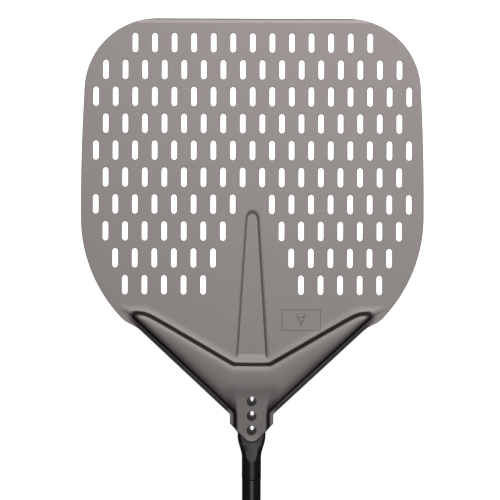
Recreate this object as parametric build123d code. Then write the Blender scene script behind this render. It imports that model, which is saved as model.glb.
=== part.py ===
from build123d import *
import os
from math import cos, pi, radians, sin, sqrt, tan

# A perforated pizza peel: a pressed aluminium blade riveted to a flattened neck tube,
# and a tube handle that screws onto the neck.
# Frame: +Y towards the blade's front edge, +Z up, X to the right. The origin is on the
# face that the blade rests on, on the centre line, halfway along the head.
# Lengths are in millimetres.

# ---- driving dimensions ----
OVERALL_LENGTH = 1200.0      # front edge to the end of the end grip
HEAD_LENGTH = 445.0          # front edge to the nose
HEAD_WIDTH = 360.0
SHEET = 1.5                  # sheet thickness
GROOVE_DEPTH = 1.5           # how far the centre groove is pressed down
WING_RISE = 12.0             # how far the wings and the neck stand above the blade

CORNER_RADIUS = 76.5         # front corners
SIDE_NARROWING = 3.3         # each side leans in this much towards the front corner
SIDE_BOW = 0.2               # share of that lean left at the side's middle
BACK_RADIUS = 154.0          # rear corners
BACK_ARC_ANGLE = 46.1        # how far the rear corner turns, degrees
WIDEST_FROM_FRONT = 208.0
SHOULDER = (121.2, 324.2)    # half-width, and distance from the front edge
SHOULDER_RADIUS = 36.0       # of both bends between the rear corner and the straight rear edge
EAR_HALF_WIDTH = 23.0
EAR_FROM_FRONT = 414.8
EAR_LENGTH = 10.0
NOSE_RADIUS = 6.8
FRONT_BEVEL = 4.0            # depth of the milled front edge
FRONT_BEVEL_DROP = 0.9

SLOT_LENGTH = 20.4
SLOT_WIDTH = 6.0
SLOT_PITCH = 20.55           # across the blade
ROW_PITCH = 28.26
FIRST_ROW = 25.5             # from the front edge
LAST_SLOT = [6, 7.5, 8, 7.5, 8, 7.5, 8, 7.5, 7, 6.5]   # outermost slot of each row, in pitches
FIRST_CLEAR_ROW = 4          # from this row on, the slots give way to the groove

GROOVE_START = 203.0         # from the front edge
GROOVE_END = 352.0
GROOVE_HALF_WIDTHS = (6.0, 15.6)   # in front and behind
GROOVE_CORNERS = (5.5, 4.0)        # corner radii in front and behind
GROOVE_DRAFT = 45.0                # lean of its walls, degrees

STEP_FROM_FRONT = 362.0      # where the wings rise on the centre line
STEP_HALF_FLAT = 17.3
WING_ANGLE = 30.4            # the step's arms from the X axis, degrees
WING_REACH = 110.3           # half-width where the arms end
WING_TIP_RADIUS = 5.0
STEP_BEND_RADIUS = 6.0       # in plan, where the step turns
WING_FLANGE = 4.2            # flat rim outside the wings
WALL_DRAFT = 13.0            # lean of the pressed walls, degrees
STEP_FILLET = 2.5

TUBE_WALL = 1.5
NECK_OD = 20.2
HANDLE_OD = 19.8
FLAT_THICKNESS = 4.2         # the neck tube where it is pressed flat
NECK_FRONT = 386.0           # from the front edge
FLAT_END = 446.0
ROUND_START = 464.0
SEAM = 483.6                 # where the handle meets the neck
WASHER_THICKNESS = 1.0

RIVETS_FROM_FRONT = {"rivet_front": 401.0, "rivet_middle": 416.2, "rivet_rear": 431.3}
RIVET_SHANK_R = 2.5
RIVET_HEAD_R = 5.2
RIVET_HEAD_HEIGHT = 3.0
RIVET_TAIL_R = 4.0
RIVET_TAIL_HEIGHT = 1.8
RIVET_TAIL_CHAMFER = 0.6

STUD_R = 5.0
STUD_REACH = 16.0            # thread that stands out of the handle
STUD_HOLD = 20.0             # thread held in the handle plug
PLUG_LENGTH = 25.0
INSERT_LENGTH = 18.0
INSERT_FLOOR = 1.0           # closed front end of the insert's bore
THREAD_CLEARANCE = 0.05
STUD_CHAMFER = 1.0
WASHER_INSET = 0.2           # the washer's edge lies this far inside the tube's
WASHER_HOLE_CLEARANCE = 0.3

GRIP_OD = 24.0
END_GRIP_LENGTH = 140.0
GRIP_TANG = 34.0             # solid end of the grip behind the tube
GRIP_EYE_R = 6.5
EYE_FROM_END = 15.0
GRIP_END_RADIUS = 10.0
GRIP_CHAMFER = 1.2
TANG_THICKNESS = 12.0        # the flattened part around the eye
TANG_FLAT_LENGTH = 28.0
TANG_FLAT_FROM_END = 13.0    # middle of the flattened part
TANG_FLAT_RADIUS = 5.0
MID_GRIP_LENGTH = 120.0
MID_GRIP_OD = 23.6
MID_GRIP_FRONT = 660.0       # from the front edge, at rest
MID_GRIP_CLEARANCE = 0.08

# ---- places worked out from them ----
FRONT = HEAD_LENGTH / 2
SHEET_Z = GROOVE_DEPTH                   # underside of the blade
SHEET_TOP = SHEET_Z + SHEET
NECK_UNDER = SHEET_Z + WING_RISE         # underside of the raised neck
NECK_TOP = NECK_UNDER + SHEET
AXIS_Z = GRIP_OD / 2                     # the handle lies with its grip on the table
TUBE_FLAT_WIDTH = pi * (NECK_OD - FLAT_THICKNESS) / 2 + FLAT_THICKNESS
TAIL_Z = NECK_UNDER - FLAT_THICKNESS     # underside of the flattened tube
FIT = 0.02                               # gap of a pressed or glued fit
OVERRUN = 1.0                            # how far a cutter runs past the face that it opens


def along(from_front):
    """The Y of a place given by its distance from the front edge."""
    return FRONT - from_front


def bar(radius, front, back):
    """A solid round bar on the handle's axis, between two Y positions."""
    middle = (front + back) / 2
    return Pos(0, middle, AXIS_Z) * Rot(90, 0, 0) * Cylinder(radius, front - back)


def post(radius, foot, top):
    """A solid upright cylinder on the Z axis."""
    return Pos(0, 0, (foot + top) / 2) * Cylinder(radius, top - foot)


# ---- the blade ----
def head_outline():
    """The blade's outline from its front corners to the nose, as a face at z = 0."""
    corner = (HEAD_WIDTH / 2 - SIDE_NARROWING - CORNER_RADIUS, FRONT - CORNER_RADIUS)
    widest = (HEAD_WIDTH / 2, along(WIDEST_FROM_FRONT))
    side_top = (corner[0] + CORNER_RADIUS, corner[1])
    side_middle = (HEAD_WIDTH / 2 - SIDE_BOW * SIDE_NARROWING, (corner[1] + widest[1]) / 2)
    back_centre = (HEAD_WIDTH / 2 - BACK_RADIUS, widest[1])
    turn = radians(BACK_ARC_ANGLE)
    back_end = (back_centre[0] + BACK_RADIUS * cos(turn), back_centre[1] - BACK_RADIUS * sin(turn))
    shoulder = (SHOULDER[0], along(SHOULDER[1]))
    ear_top = (EAR_HALF_WIDTH, along(EAR_FROM_FRONT))
    ear_end = (EAR_HALF_WIDTH, ear_top[1] - EAR_LENGTH)
    nose = (0, ear_end[1] - EAR_HALF_WIDTH)
    with BuildSketch() as sketch:
        with BuildLine():
            Line((0, FRONT), (corner[0], FRONT))
            RadiusArc((corner[0], FRONT), side_top, CORNER_RADIUS)
            ThreePointArc(side_top, side_middle, widest)
            RadiusArc(widest, back_end, BACK_RADIUS)
            Polyline(back_end, shoulder, ear_top, ear_end, nose)
            mirror(about=Plane.YZ)
        make_face()
        for bend in (shoulder[1], back_end[1]):
            fillet(sketch.vertices().filter_by(lambda v: abs(v.Y - bend) < FIT), SHOULDER_RADIUS)
        fillet(sketch.vertices().filter_by(lambda v: abs(v.Y - nose[1]) < FIT), NOSE_RADIUS)
    return sketch.sketch


def slot_centres():
    """The centre of every perforation."""
    places = []
    for row, last in enumerate(LAST_SLOT):
        first = max(row % 2 / 2, (row - FIRST_CLEAR_ROW) / 2)
        y = along(FIRST_ROW + row * ROW_PITCH)
        steps = int(last - first) + 1
        for step in range(steps):
            x = (first + step) * SLOT_PITCH
            places.append((x, y))
            if x > 0:
                places.append((-x, y))
    return places


def slots():
    """All the perforations as one cutter."""
    sketch = Sketch() + [
        Pos(x, y) * SlotOverall(SLOT_LENGTH, SLOT_WIDTH, rotation=90) for x, y in slot_centres()
    ]
    return extrude(sketch, amount=SHEET_TOP + OVERRUN)


def groove_form():
    """The groove's tapered outline, pressed down by its depth with sloping walls."""
    start, end = along(GROOVE_START), along(GROOVE_END)
    narrow, wide = GROOVE_HALF_WIDTHS
    outline = Polygon((narrow, start), (-narrow, start), (-wide, end), (wide, end), align=None)
    outline = fillet(outline.vertices().group_by(Axis.Y)[-1], GROOVE_CORNERS[0])
    outline = fillet(outline.vertices().group_by(Axis.Y)[0], GROOVE_CORNERS[1])
    return extrude(outline, amount=GROOVE_DEPTH, dir=(0, 0, -1), taper=GROOVE_DRAFT)


def wing_outline():
    """The foot of the raised wings and neck: a step in front, arms, rims along the rear edges."""
    lean = (SHOULDER[0] - EAR_HALF_WIDTH) / (EAR_FROM_FRONT - SHOULDER[1])
    rim = WING_FLANGE * sqrt(1 + lean**2)
    step = along(STEP_FROM_FRONT)
    tip = step + (WING_REACH - STEP_HALF_FLAT) * tan(radians(WING_ANGLE))
    tip_x = SHOULDER[0] - rim + lean * (tip - along(SHOULDER[1]))
    neck = EAR_HALF_WIDTH - WING_FLANGE
    neck_y = along(EAR_FROM_FRONT) + (rim - WING_FLANGE) / lean
    behind_nose = -FRONT - EAR_HALF_WIDTH
    left = [
        (-STEP_HALF_FLAT, step),
        (-WING_REACH, tip),
        (-tip_x, tip),
        (-neck, neck_y),
        (-neck, behind_nose),
    ]
    right = [(-x, y) for x, y in reversed(left)]
    outline = Polygon(*left, *right, align=None)
    for x, y, radius in (
        (tip_x, tip, WING_TIP_RADIUS),
        (WING_REACH, tip, STEP_BEND_RADIUS),
        (STEP_HALF_FLAT, step, STEP_BEND_RADIUS),
    ):
        corners = outline.vertices().filter_by(lambda v: abs(abs(v.X) - x) + abs(v.Y - y) < FIT)
        outline = fillet(corners, radius)
    return outline


def wing_form(foot, inset):
    """The raised wings and neck as a solid with leaning walls, standing on z = foot."""
    outline = offset(wing_outline(), amount=-inset) if inset else wing_outline()
    return Pos(0, 0, foot) * extrude(outline, amount=WING_RISE, taper=WALL_DRAFT)


def blade():
    """The pressed, perforated sheet."""
    outline = head_outline()
    plate = Pos(0, 0, SHEET_Z) * extrude(outline, amount=SHEET)
    keel = Pos(0, 0, SHEET_Z) * groove_form()
    pocket = Pos(0, 0, SHEET_TOP) * groove_form()
    outer = wing_form(SHEET_TOP, 0)
    rim = outer.edges().group_by(Axis.Z)[-1].filter_by(lambda e: e.center().Y > -FRONT)
    outer = fillet(rim, STEP_FILLET)
    inner = wing_form(SHEET_Z, SHEET / cos(radians(WALL_DRAFT)))
    trim = extrude(outline, amount=NECK_TOP + OVERRUN)
    raised = outer & trim
    body = plate + keel + raised
    body = body - inner - pocket - slots()
    hole = post(RIVET_SHANK_R + FIT, NECK_UNDER - OVERRUN, NECK_TOP + OVERRUN)
    for from_front in RIVETS_FROM_FRONT.values():
        body -= Pos(0, along(from_front), 0) * hole
    bevel = Plane.YZ * Polygon(
        (FRONT - FRONT_BEVEL, SHEET_TOP),
        (FRONT + OVERRUN, SHEET_TOP),
        (FRONT + OVERRUN, SHEET_TOP - FRONT_BEVEL_DROP * (FRONT_BEVEL + OVERRUN) / FRONT_BEVEL),
        align=None,
    )
    return body - extrude(bevel, amount=HEAD_WIDTH / 2, both=True)


# ---- the neck ----
def neck_section(y, width, height, z):
    """One cross-section of the neck tube, facing along Y."""
    corner = height / 2 - FIT / 2
    plane = Plane(origin=(0, y, z), x_dir=(1, 0, 0), z_dir=(0, -1, 0))
    return plane * RectangleRounded(width, height, corner)


def neck_form(skin):
    """The neck tube's outside, or its inside when skin is the wall thickness."""
    flat_z = NECK_UNDER - FLAT_THICKNESS / 2
    flat = (TUBE_FLAT_WIDTH - 2 * skin, FLAT_THICKNESS - 2 * skin, flat_z)
    round_end = (NECK_OD - 2 * skin, NECK_OD - 2 * skin, AXIS_Z)
    overrun = OVERRUN if skin else 0
    front, flat_end, round_start = along(NECK_FRONT), along(FLAT_END), along(ROUND_START)
    back = along(SEAM) + WASHER_THICKNESS / 2
    flat_part = extrude(neck_section(front + overrun, *flat), amount=front + overrun - flat_end)
    taper_part = loft([neck_section(flat_end, *flat), neck_section(round_start, *round_end)])
    round_part = bar(NECK_OD / 2 - skin, round_start, back - overrun)
    return flat_part, taper_part, round_part


def neck_tube():
    """A round tube whose front end is pressed flat to lie under the raised neck."""
    flat_part, taper_part, round_part = neck_form(0)
    body = flat_part + taper_part + round_part
    for hollow in neck_form(TUBE_WALL):
        body -= hollow
    hole = post(RIVET_SHANK_R + FIT, TAIL_Z - OVERRUN, NECK_TOP)
    for from_front in RIVETS_FROM_FRONT.values():
        body -= Pos(0, along(from_front), 0) * hole
    return body


def rivet(from_front):
    """A solid rivet: domed head on the neck, shank through the tube, set tail below."""
    dome_r = (RIVET_HEAD_R**2 + RIVET_HEAD_HEIGHT**2) / (2 * RIVET_HEAD_HEIGHT)
    dome = Pos(0, 0, NECK_TOP + RIVET_HEAD_HEIGHT - dome_r) * Sphere(dome_r)
    above = post(RIVET_HEAD_R, NECK_TOP, NECK_TOP + RIVET_HEAD_HEIGHT)
    shank = post(RIVET_SHANK_R, TAIL_Z, NECK_TOP)
    tail = post(RIVET_TAIL_R, TAIL_Z - RIVET_TAIL_HEIGHT, TAIL_Z)
    tail = chamfer(tail.edges().group_by(Axis.Z)[0], RIVET_TAIL_CHAMFER)
    return Pos(0, along(from_front), 0) * ((dome & above) + shank + tail)


# ---- the screw joint ----
def neck_insert():
    """A threaded bush pressed into the neck tube; the thread is a plain bore here."""
    back = along(SEAM) + WASHER_THICKNESS / 2
    body = bar(NECK_OD / 2 - TUBE_WALL - FIT, back + INSERT_LENGTH, back)
    return body - bar(STUD_R + THREAD_CLEARANCE, back + INSERT_LENGTH - INSERT_FLOOR, back - OVERRUN)


def joint_washer():
    """A thin washer between the neck tube and the handle tube."""
    front = along(SEAM) + WASHER_THICKNESS / 2
    back = front - WASHER_THICKNESS
    body = bar(HANDLE_OD / 2 - WASHER_INSET, front, back)
    return body - bar(STUD_R + WASHER_HOLE_CLEARANCE, front + OVERRUN, back - OVERRUN)


def threaded_stud():
    """The stud that joins handle to neck, held in the handle plug."""
    seam_back = along(SEAM) - WASHER_THICKNESS / 2
    front = seam_back + WASHER_THICKNESS + STUD_REACH
    body = bar(STUD_R, front, seam_back - STUD_HOLD)
    return chamfer(body.edges().group_by(Axis.Y)[-1], STUD_CHAMFER)


def handle_plug():
    """A turned plug fixed in the handle tube's front end."""
    front = along(SEAM) - WASHER_THICKNESS / 2
    body = bar(HANDLE_OD / 2 - TUBE_WALL - FIT, front, front - PLUG_LENGTH)
    return body - bar(STUD_R, front + OVERRUN, front - STUD_HOLD)


# ---- the handle ----
def handle_tube():
    """The long tube, open inside between its plug and the end grip."""
    front = along(SEAM) - WASHER_THICKNESS / 2
    back = along(OVERALL_LENGTH - GRIP_TANG)
    body = bar(HANDLE_OD / 2, front, back)
    return body - bar(HANDLE_OD / 2 - TUBE_WALL, front + OVERRUN, back - OVERRUN)


def end_grip():
    """A moulded grip over the tube's end, with a flattened tang and a hanging eye."""
    back = along(OVERALL_LENGTH)
    front = back + END_GRIP_LENGTH
    body = bar(GRIP_OD / 2, front, back)
    body = fillet(body.edges().group_by(Axis.Y)[0], GRIP_END_RADIUS)
    body = chamfer(body.edges().group_by(Axis.Y)[-1], GRIP_CHAMFER)
    body -= bar(HANDLE_OD / 2 + FIT, front + OVERRUN, back + GRIP_TANG)
    cutter = Box(GRIP_OD + OVERRUN, TANG_FLAT_LENGTH, GRIP_OD)
    cutter = fillet(cutter.edges().filter_by(Axis.X), TANG_FLAT_RADIUS)
    for side in (1, -1):
        body -= Pos(0, back + TANG_FLAT_FROM_END, AXIS_Z + side * (TANG_THICKNESS + GRIP_OD) / 2) * cutter
    return body - Pos(0, back + EYE_FROM_END, 0) * post(GRIP_EYE_R, 0, GRIP_OD)


def mid_grip():
    """A sleeve that slides along the handle tube."""
    front = along(MID_GRIP_FRONT)
    back = front - MID_GRIP_LENGTH
    body = bar(MID_GRIP_OD / 2, front, back)
    body = chamfer(body.edges(), GRIP_CHAMFER)
    return body - bar(HANDLE_OD / 2 + MID_GRIP_CLEARANCE, front + OVERRUN, back - OVERRUN)


pieces = {
    "blade": blade(),
    "neck_tube": neck_tube(),
    "neck_insert": neck_insert(),
    "joint_washer": joint_washer(),
    "threaded_stud": threaded_stud(),
    "handle_plug": handle_plug(),
    "handle_tube": handle_tube(),
    "end_grip": end_grip(),
    "mid_grip": mid_grip(),
}
for rivet_name, place in RIVETS_FROM_FRONT.items():
    pieces[rivet_name] = rivet(place)

os.makedirs("parts", exist_ok=True)
for name, piece in pieces.items():
    export_step(piece, f"parts/{name}.step")
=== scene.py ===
from math import ceil, cos, pi, radians, sin, sqrt

import bpy
import numpy as np
from numpy.linalg import norm
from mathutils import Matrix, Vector, geometry, kdtree


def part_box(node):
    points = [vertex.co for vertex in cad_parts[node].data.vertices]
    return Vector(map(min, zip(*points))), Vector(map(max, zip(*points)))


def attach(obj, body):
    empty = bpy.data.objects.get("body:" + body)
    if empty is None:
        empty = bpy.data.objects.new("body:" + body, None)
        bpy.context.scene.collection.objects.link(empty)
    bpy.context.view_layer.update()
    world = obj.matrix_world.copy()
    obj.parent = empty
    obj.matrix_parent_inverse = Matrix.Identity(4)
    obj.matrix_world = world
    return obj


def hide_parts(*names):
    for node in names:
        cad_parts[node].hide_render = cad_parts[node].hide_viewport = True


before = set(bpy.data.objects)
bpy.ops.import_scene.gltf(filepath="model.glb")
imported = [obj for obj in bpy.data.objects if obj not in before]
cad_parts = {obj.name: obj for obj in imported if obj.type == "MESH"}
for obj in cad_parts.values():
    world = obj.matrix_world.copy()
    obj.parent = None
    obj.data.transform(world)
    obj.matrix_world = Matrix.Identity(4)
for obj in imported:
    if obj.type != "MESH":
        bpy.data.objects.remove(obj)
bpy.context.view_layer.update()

# A perforated pizza peel. Shapes are worked out in millimetres in the CAD model's frame
# (+Y towards the blade's front edge, +Z up) and stored in metres.
MM = 0.001


def node_box(name):
    """A CAD node's lowest and highest corners in millimetres."""
    low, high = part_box(name)
    return np.array(low) / MM, np.array(high) / MM


def node_span(name):
    """A CAD node's half-width, back and front in millimetres."""
    low, high = node_box(name)
    return (high[0] - low[0]) / 2, low[1], high[1]


# ---- places given by the frame ----
HALF_WIDTH, BACK, FRONT = node_span("blade")
TUBE_LOW, TUBE_HIGH = node_box("handle_tube")
AXIS_Z = (TUBE_LOW[2] + TUBE_HIGH[2]) / 2
HANDLE_R = (TUBE_HIGH[2] - TUBE_LOW[2]) / 2
RIVETS = ("rivet_front", "rivet_middle", "rivet_rear")

# ---- the blade's dimensions ----
SHEET = 1.5
GROOVE_DEPTH = 1.5
SHEET_TOP = GROOVE_DEPTH + SHEET
WING_RISE = 12.0
NECK_TOP = SHEET_TOP + WING_RISE


def along(from_front):
    """The Y of a place given by its distance from the front edge."""
    return FRONT - from_front


# ======== Mesh helpers ========
def new_mesh(name, points, faces):
    """A mesh from points in millimetres."""
    mesh = bpy.data.meshes.new(name)
    mesh.from_pydata([tuple(p) for p in np.asarray(points) * MM], [], faces)
    return mesh


def new_object(name, data):
    """An object in the scene."""
    made = bpy.data.objects.new(name, data)
    bpy.context.scene.collection.objects.link(made)
    return made


def crease(piece, degrees):
    """Sharp shading on the edges that turn by more than an angle."""
    piece.data.set_sharp_from_angle(angle=radians(degrees))


def add_piece(name, shape, body, materials, node, sharp=35):
    """A mesh object from (points, faces), riding on a body and standing for a CAD node."""
    mesh = new_mesh(name, *shape)
    mesh.update()
    for material in materials:
        mesh.materials.append(material)
    mesh.polygons.foreach_set("use_smooth", [True] * len(mesh.polygons))
    piece = new_object(name, mesh)
    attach(piece, body)
    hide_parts(node)
    if sharp is not None:
        crease(piece, sharp)
    return piece


def around(count):
    """Neighbouring index pairs around a closed loop."""
    return [(i, (i + 1) % count) for i in range(count)]


def lathe(rings, sides):
    """Points and faces of a closed shape turned about Z; each ring is (radius, height).

    The last ring joins the first, so a tube's profile goes down along the outside and back
    up along the inside, and a solid's profile starts and ends at radius zero.
    """
    points, loops = [], []
    for radius, height in rings[::-1]:
        count = sides if radius else 1
        loops.append([len(points) + side % count for side in range(sides)])
        for angle in [2 * pi * side / sides for side in range(count)]:
            points.append((radius * cos(angle), radius * sin(angle), height))
    faces = []
    for here, there in around(len(loops)):
        for i, j in around(sides):
            corners = (loops[here][i], loops[here][j], loops[there][j], loops[there][i])
            faces.append(tuple(dict.fromkeys(corners)))
    return np.array(points), [face for face in faces if len(face) > 2]


def turned(rings, sides):
    """A lathe's shape laid along Y about the handle's axis; each ring is (radius, Y)."""
    points, faces = lathe(rings, sides)
    x, z, y = points.T
    return np.column_stack([x, y, AXIS_Z - z]), faces


def loft(rings):
    """Points and faces of rings joined one after the other, the last to the first."""
    size = len(rings[0])
    faces = [
        (here * size + i, here * size + j, there * size + j, there * size + i)
        for here, there in around(len(rings)) for i, j in around(size)
    ]
    return np.vstack(rings), faces


def capped(rings):
    """Points and faces of rings joined one after the other, with a flat face closing each end."""
    size = len(rings[0])
    points, faces = loft(rings)
    first, last = range(size), range(len(points) - size, len(points))
    return points, faces[:-size] + [tuple(first)[::-1], tuple(last)]


# ======== Materials ========
def feed(socket, value):
    """Links another node's output to a socket, or sets the socket's own value."""
    if isinstance(value, bpy.types.NodeSocket):
        socket.id_data.links.new(value, socket)
    else:
        socket.default_value = value


def add_node(tree, kind, **inputs):
    """A new shader node with its inputs fed."""
    node = tree.nodes.new(kind)
    for name, value in inputs.items():
        feed(node.inputs[name.replace("_", " ")], value)
    return node


def put(material, **sockets):
    """Feeds some of the shader's own sockets."""
    shader = material.node_tree.nodes["Principled BSDF"]
    for name, value in sockets.items():
        feed(shader.inputs[name.replace("_", " ")], value)


def new_material(name, **sockets):
    """A node material; sockets that are the same all over are set on the shader itself."""
    material = bpy.data.materials.new(name)
    material.use_nodes = True
    put(material, **sockets)
    return material


def noise(material, scale, stretch=(1, 1, 1), detail=3.0, roughness=0.5):
    """A noise texture over the piece's own coordinates; scale is in cycles per metre."""
    tree = material.node_tree
    place = add_node(tree, "ShaderNodeTexCoord").outputs["Object"]
    mapped = add_node(tree, "ShaderNodeMapping", Vector=place, Scale=stretch).outputs["Vector"]
    texture = add_node(tree, "ShaderNodeTexNoise", Vector=mapped, Scale=scale, Detail=detail,
                       Roughness=roughness)
    return texture.outputs["Fac"]


def remap(value, low, high, source=(0.3, 0.7)):
    """A value moved from its source range to low..high."""
    node = add_node(value.id_data, "ShaderNodeMapRange", Value=value, From_Min=source[0],
                    From_Max=source[1], To_Min=low, To_Max=high)
    return node.outputs["Result"]


def blend_colors(value, first, second, source=(0.3, 0.7)):
    """A colour between two by a value; the colours may be sockets of other nodes."""
    mix = value.id_data.nodes.new("ShaderNodeMix")
    mix.data_type = "RGBA"
    feed(mix.inputs["Factor"], remap(value, 0, 1, source))
    for name, color in (("A", first), ("B", second)):
        socket = [i for i in mix.inputs if i.name == name and i.type == "RGBA"][0]
        feed(socket, color if isinstance(color, bpy.types.NodeSocket) else (*color, 1))
    return [o for o in mix.outputs if o.type == "RGBA"][0]


def bump(*layers):
    """The normal of stacked bump layers; each is (height, depth in millimetres, strength)."""
    normal = None
    for height, depth, strength in layers:
        node = add_node(height.id_data, "ShaderNodeBump", Height=height, Strength=strength,
                        Distance=depth * MM)
        if normal is not None:
            feed(node.inputs["Normal"], normal)
        normal = node.outputs["Normal"]
    return normal


def shade(color, factor):
    """A colour made lighter or darker."""
    return tuple(c * factor for c in color)


# Attribute of the sheet: painted shade, 0 where none is painted, 1 on the darkest walls.
PAINTED_SHADE_ATTRIBUTE = "painted_shade_share"


def anodised_sheet():
    """Grey hard-anodised aluminium: satin grain, faint clouds, rolling lines, and painted shade on steep
    walls and the neck.
    """
    grey = (0.44, 0.402, 0.392)
    material = new_material("anodised_sheet", Metallic=1.0, Roughness=0.6)
    clouds = noise(material, 14, detail=4)
    speckle = noise(material, 900, detail=2)
    rolling = noise(material, 60, stretch=(14, 0.35, 1), detail=4)
    cloudy = blend_colors(clouds, shade(grey, 0.98), shade(grey, 1.02))
    lined = blend_colors(rolling, cloudy, grey, (0.45, 1.1))
    grained = blend_colors(speckle, lined, shade(grey, 0.9), (0.45, 1.2))
    share = material.node_tree.nodes.new("ShaderNodeAttribute")
    share.attribute_name = PAINTED_SHADE_ATTRIBUTE
    # Painted shade: the grey darkens to 0.14 of itself where the attribute says, standing in for the
    # shade on steep walls and the neck.
    drawn = blend_colors(share.outputs["Fac"], grained, shade(grey, 0.14), (0, 1))
    relief = bump((rolling, 0.03, 0.2), (noise(material, 2400, detail=2), 0.03, 0.25))
    put(material, Base_Color=drawn, Roughness=remap(clouds, 0.64, 0.66), Normal=relief)
    return material


def milled_edge():
    """The machined bevel along the front edge, with the cutter's fine lines."""
    grey = (0.45, 0.415, 0.4)
    material = new_material("milled_edge", Metallic=1.0, Roughness=0.6)
    lines = noise(material, 300, stretch=(0.06, 4, 1), detail=3)
    cut_lines = blend_colors(lines, shade(grey, 0.9), shade(grey, 1.05))
    relief = bump((lines, 0.03, 0.3))
    put(material, Base_Color=cut_lines, Roughness=remap(lines, 0.57, 0.63), Normal=relief)
    return material


def etched_mark():
    """The etched lines of the mark: darker and rougher than the sheet."""
    grey = (0.2, 0.19, 0.185)
    material = new_material("etched_mark", Metallic=1.0, Roughness=0.7)
    pits = noise(material, 3500, detail=2)
    pitted = blend_colors(pits, shade(grey, 0.85), shade(grey, 1.15))
    put(material, Base_Color=pitted, Normal=bump((pits, 0.03, 0.4)))
    return material


def black_anodised(name, level, roughness, specular):
    """Black anodised tube, polished around its axis, with drawn lines along it and a soft bloom."""
    black = (level, level, level * 1.02)
    material = new_material(name, Roughness=roughness, Anisotropic=0.8, Anisotropic_Rotation=0.25,
                            Specular_IOR_Level=specular)
    tangent = material.node_tree.nodes.new("ShaderNodeTangent")
    tangent.direction_type = "RADIAL"
    tangent.axis = "Y"
    drawn = noise(material, 500, stretch=(1, 0.02, 1), detail=3)
    bloom = noise(material, 30, detail=3)
    bloomed = blend_colors(bloom, shade(black, 0.95), shade(black, 1.08))
    lined = blend_colors(drawn, bloomed, shade(black, 1.25), (0.5, 1.0))
    rough = remap(bloom, roughness - 0.01, roughness + 0.015)
    relief = bump((drawn, 0.01, 0.15), (noise(material, 2600, detail=2), 0.02, 0.2))
    put(material, Base_Color=lined, Roughness=rough, Normal=relief, Tangent=tangent.outputs["Tangent"])
    return material


def turned_metal(name, color, roughness, lines=1.0):
    """Turned metal with fine concentric tool lines across the turning axis."""
    material = new_material(name, Metallic=1.0, Roughness=roughness)
    rings = noise(material, 900, stretch=(0.05, 3, 0.05), detail=2)
    wear = noise(material, 120, detail=4)
    worn = blend_colors(wear, shade(color, 0.92), shade(color, 1.05))
    lined = blend_colors(rings, worn, shade(color, 0.9), (0.5, 1.0))
    rough = remap(wear, roughness * 0.85, roughness * 1.25)
    relief = bump((rings, 0.01, 0.25 * lines), (wear, 0.02, 0.1))
    put(material, Base_Color=lined, Roughness=rough, Normal=relief)
    return material


def rubber():
    """Matt black rubber."""
    black = (0.006, 0.006, 0.006)
    material = new_material("washer_rubber", Roughness=0.8, Specular_IOR_Level=0.25)
    grain = noise(material, 2500, detail=3)
    dusty = blend_colors(grain, black, shade(black, 1.8))
    put(material, Base_Color=dusty, Normal=bump((grain, 0.05, 0.4)))
    return material


def grip_polymer():
    """Moulded black polymer with a fine spark-eroded texture and slightly polished wear."""
    black = (0.022, 0.022, 0.023)
    material = new_material("grip_polymer", Roughness=0.55)
    texture = noise(material, 1600, detail=2, roughness=0.6)
    wear = noise(material, 28, detail=4)
    worn = blend_colors(wear, black, shade(black, 1.5))
    relief = bump((texture, 0.12, 0.45))
    put(material, Base_Color=worn, Roughness=remap(wear, 0.48, 0.64), Normal=relief)
    return material


SHEET_METAL = anodised_sheet()
MILLED = milled_edge()
ETCHED = etched_mark()
NECK_BLACK = black_anodised("neck_black", 0.009, 0.52, 0.6)
TUBE_BLACK = black_anodised("tube_black", 0.008, 0.42, 0.8)
RIVET_STEEL = turned_metal("rivet_steel", (0.56, 0.55, 0.54), 0.23, lines=0.1)
BRASS = turned_metal("brass", (0.78, 0.58, 0.3), 0.28)
STUD_STEEL = turned_metal("stud_steel", (0.62, 0.62, 0.6), 0.3)
PLUG_ALUMINIUM = turned_metal("plug_aluminium", (0.76, 0.76, 0.77), 0.3)
RUBBER = rubber()
POLYMER = grip_polymer()


# ======== The blade ========
CORNER_RADIUS = 76.5  # front corners
SIDE_NARROWING = 3.3  # each side leans in this much towards the front corner
SIDE_BOW = 0.2  # share of that lean left at the side's middle
BACK_RADIUS = 154.0  # rear corners
BACK_ARC_ANGLE = 46.1  # degrees
WIDEST = along(208.0)
SHOULDER = (121.2, along(324.2))
SHOULDER_RADIUS = 36.0
EAR_HALF_WIDTH = 23.0
EAR = along(415.5)
EAR_LENGTH = 9.8
EAR_RADIUS = 2.0
NOSE_RADIUS = 9.5

SLOT_HALF_STRAIGHT = 7.2
SLOT_RADIUS = 3.0
SLOT_END_STEPS = 10  # points along each rounded end
SLOT_SIDE_STEP = 2.6  # between the points along the straight sides
SLOT_PITCH = 20.55
ROW_PITCH = 28.26
FIRST_ROW = 25.5  # from the front edge
LAST_SLOT = [6, 7.5, 8, 7.5, 8, 7.5, 8, 7.5, 7, 6.5]  # outermost slot of each row, in pitches
FIRST_CLEAR_ROW = 4

GROOVE_START = along(199.5)
GROOVE_END = along(357.5)
GROOVE_HALF_WIDTHS = (8.3, 18.6)
GROOVE_WALL = 4.0  # width of its side walls
GROOVE_FRONT_WALL = 5.5
GROOVE_REAR_WALL = 5.5

STEP_Y = along(361.8)  # where the wings rise on the centre line
STEP_HALF_FLAT = 17.3
STEP_BEND = 1.2
WING_ANGLE = radians(30.3)
WING_TIP_Y = along(306.8)
WING_TIP_BEND = 3.5
FLANGE = 3.2
NECK_HALF_WIDTH = 19.3  # from the centre line to the foot of the neck's sides
REAR_LEAN = (SHOULDER[0] - EAR_HALF_WIDTH) / (SHOULDER[1] - EAR)

BEVEL_DEPTH = 4.6
BEVEL_DROP = 0.9
BEVEL_NOSE = 1.5  # depth of the rounded front end of the bevel
BEVEL_STEP = 3.0  # between the points along the bevel's rear line
BEVEL_MARGIN = 1.2  # left free at that line's ends
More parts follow.
